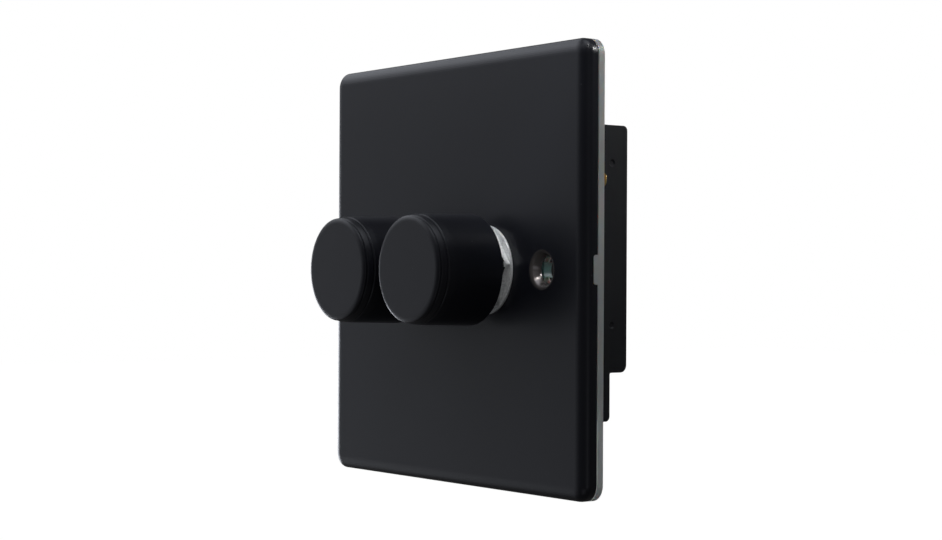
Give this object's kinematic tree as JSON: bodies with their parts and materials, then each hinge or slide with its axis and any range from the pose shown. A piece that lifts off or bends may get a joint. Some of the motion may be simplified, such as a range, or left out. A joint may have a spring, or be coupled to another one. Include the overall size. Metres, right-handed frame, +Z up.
{
  "type": "two-gang rotary dimmer",
  "caption": "Square wall plate with round push-and-turn dimmer knobs, a gasket behind its rim and boxed dimmer modules with screw terminals on the back.",
  "frame": {"origin": "centre of the plate, on the wall's surface, midway between the two fixing holes", "axes": "+X right as seen from the room, +Y into the wall, +Z up"},
  "size_m": [0.086, 0.0445, 0.086],
  "materials": {
    "plate": "matt black powder coat",
    "knob": "satin black",
    "gasket": "clear, slightly frosted",
    "housing": "moulded black",
    "bright_metal": "nickel plated, lightly scratched",
    "aluminium": "plain sheet",
    "brass": "plain",
    "copper": "enamelled copper",
    "spring_steel": "drawn wire",
    "circuit_board": "green solder mask",
    "track": "brown phenolic",
    "switch": "grey moulded",
    "ferrite": "dark ferrite",
    "capacitor": "blue moulded box",
    "epoxy": "black moulded resin",
    "nylon": "natural nylon"
  },
  "bodies": {
    "root": {"face_plate": "plate", "gasket": "gasket", "earth_stud": "brass", "earth_nut": "brass", "left_switch_body": "switch", "left_return_spring": "spring_steel", "left_bush": "bright_metal", "left_control_can": "bright_metal", "left_track_disc": "track", "left_washer": "bright_metal", "left_hex_nut": "bright_metal", "left_heatsink_plate": "aluminium", "left_module_housing": "housing", "left_housing_screw_upper": "bright_metal", "left_housing_screw_lower": "bright_metal", "left_circuit_board": "circuit_board", "left_power_transistor": "epoxy", "left_choke_core": "ferrite", "left_choke_winding": "copper", "left_film_capacitor": "capacitor", "left_terminal_clamp_a": "brass", "left_clamp_screw_a": "bright_metal", "left_terminal_clamp_b": "brass", "left_clamp_screw_b": "bright_metal", "left_terminal_clamp_c": "brass", "left_clamp_screw_c": "bright_metal", "right_switch_body": "switch", "right_return_spring": "spring_steel", "right_bush": "bright_metal", "right_control_can": "bright_metal", "right_track_disc": "track", "right_washer": "bright_metal", "right_hex_nut": "bright_metal", "right_heatsink_plate": "aluminium", "right_module_housing": "housing", "right_housing_screw_upper": "bright_metal", "right_housing_screw_lower": "bright_metal", "right_circuit_board": "circuit_board", "right_power_transistor": "epoxy", "right_choke_core": "ferrite", "right_choke_winding": "copper", "right_film_capacitor": "capacitor", "right_terminal_clamp_a": "brass", "right_clamp_screw_a": "bright_metal", "right_terminal_clamp_b": "brass", "right_clamp_screw_b": "bright_metal", "right_terminal_clamp_c": "brass", "right_clamp_screw_c": "bright_metal"},
    "left_push": {"left_switch_plunger": "nylon", "left_contact_bridge": "copper"},
    "left_dial": {"left_knob": "knob", "left_knob_grip_spring": "spring_steel", "left_spindle": "aluminium"},
    "left_rotor": {"left_wiper_rotor": "nylon"},
    "right_push": {"right_switch_plunger": "nylon", "right_contact_bridge": "copper"},
    "right_dial": {"right_knob": "knob", "right_knob_grip_spring": "spring_steel", "right_spindle": "aluminium"},
    "right_rotor": {"right_wiper_rotor": "nylon"}
  },
  "joints": [
    {"name": "left_push", "type": "slide", "parent": "root", "child": "left_push", "axis": [0, 1, 0], "range_m": [0, 0.0015], "stiffness_N_per_m": 800, "springref_m": -0.002, "deforming": ["left_return_spring"]},
    {"name": "left_turn", "type": "hinge", "parent": "left_push", "child": "left_dial", "pos_m": [-0.0126, 0, 0], "axis": [0, 1, 0], "range_deg": [0, 280]},
    {"name": "left_rotor_turn", "type": "hinge", "parent": "root", "child": "left_rotor", "pos_m": [-0.0126, 0, 0], "axis": [0, 1, 0], "range_deg": [0, 280]},
    {"name": "right_push", "type": "slide", "parent": "root", "child": "right_push", "axis": [0, 1, 0], "range_m": [0, 0.0015], "stiffness_N_per_m": 800, "springref_m": -0.002, "deforming": ["right_return_spring"]},
    {"name": "right_turn", "type": "hinge", "parent": "right_push", "child": "right_dial", "pos_m": [0.0126, 0, 0], "axis": [0, 1, 0], "range_deg": [0, 280]},
    {"name": "right_rotor_turn", "type": "hinge", "parent": "root", "child": "right_rotor", "pos_m": [0.0126, 0, 0], "axis": [0, 1, 0], "range_deg": [0, 280]}
  ],
  "couplings": [
    {"joint": "left_rotor_turn", "follows": "left_turn", "ratio": 1},
    {"joint": "right_rotor_turn", "follows": "right_turn", "ratio": 1}
  ]
}
